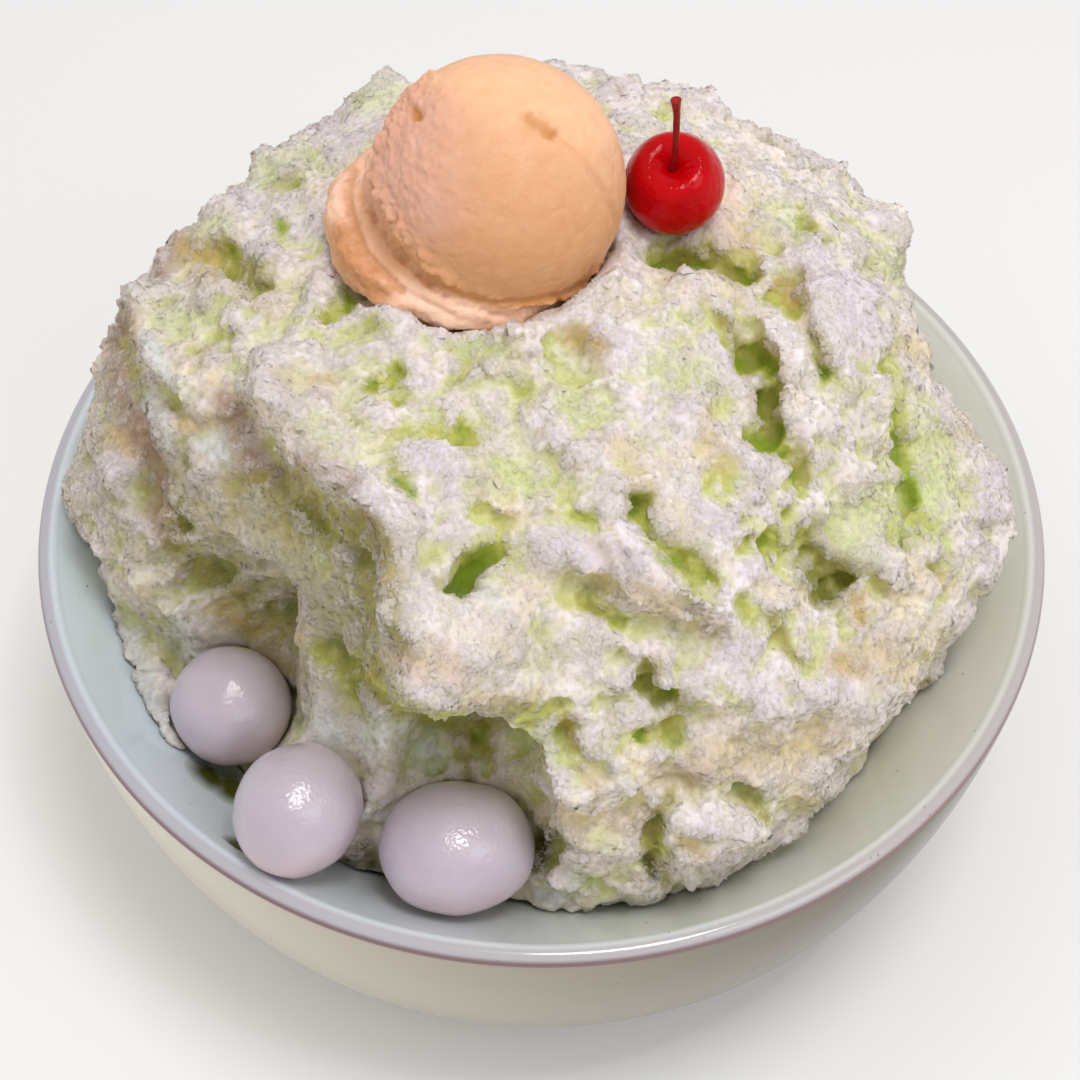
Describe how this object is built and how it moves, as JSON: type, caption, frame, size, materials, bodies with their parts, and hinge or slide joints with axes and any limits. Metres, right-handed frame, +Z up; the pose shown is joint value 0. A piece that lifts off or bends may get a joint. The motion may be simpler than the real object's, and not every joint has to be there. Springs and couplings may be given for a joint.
{
  "type": "bowl of shaved ice with ice cream",
  "caption": "Heaped dessert of shaved ice with green syrup in a heavy glazed bowl, topped with ice cream, a cherry and rice dumplings.",
  "frame": {"origin": "centre of the foot ring, on the surface the bowl stands on", "axes": "+Z up; -Y towards the side where the dumplings lie; +X to the right seen from there"},
  "size_m": [0.23, 0.23, 0.2102],
  "materials": {
    "glaze": "pale celadon glaze, glossy, khaki cream outside",
    "ice": "crumbly shaved ice, white with green syrup",
    "ice_cream": "dense ice cream, satin, peach",
    "cherry": "wet and glossy, deep red",
    "stem": "dyed stalk, satin, dark red",
    "dumpling": "moist rice dough, soft gloss, white with a lilac cast"
  },
  "bodies": {
    "root": {"bowl": "glaze", "shaved_ice": "ice", "ice_cream_scoop": "ice_cream", "cherry": "cherry", "cherry_stem": "stem", "dumpling_left": "dumpling", "dumpling_middle": "dumpling", "dumpling_right": "dumpling"}
  },
  "joints": []
}
